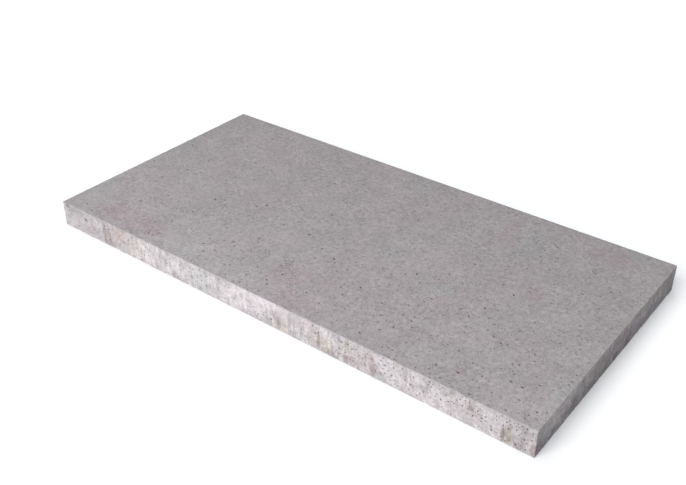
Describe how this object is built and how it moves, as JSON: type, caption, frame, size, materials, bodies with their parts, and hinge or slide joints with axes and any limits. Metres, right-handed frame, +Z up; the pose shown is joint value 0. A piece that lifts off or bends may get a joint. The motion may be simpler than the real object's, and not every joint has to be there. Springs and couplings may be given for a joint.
{
  "type": "concrete paving slab",
  "caption": "Rectangular cast concrete paving slab, one solid piece lying flat, with a flat finely pitted wear face, square edges and slightly eased arrises.",
  "frame": {"origin": "centre of the bed face, which lies on the ground", "axes": "+X along the length, +Y across the width, +Z up through the wear face"},
  "size_m": [1, 0.5, 0.05],
  "materials": {
    "concrete": "as cast, matt, with small air pits and fine sand grain"
  },
  "bodies": {
    "root": {"paving_slab": "concrete"}
  },
  "joints": []
}
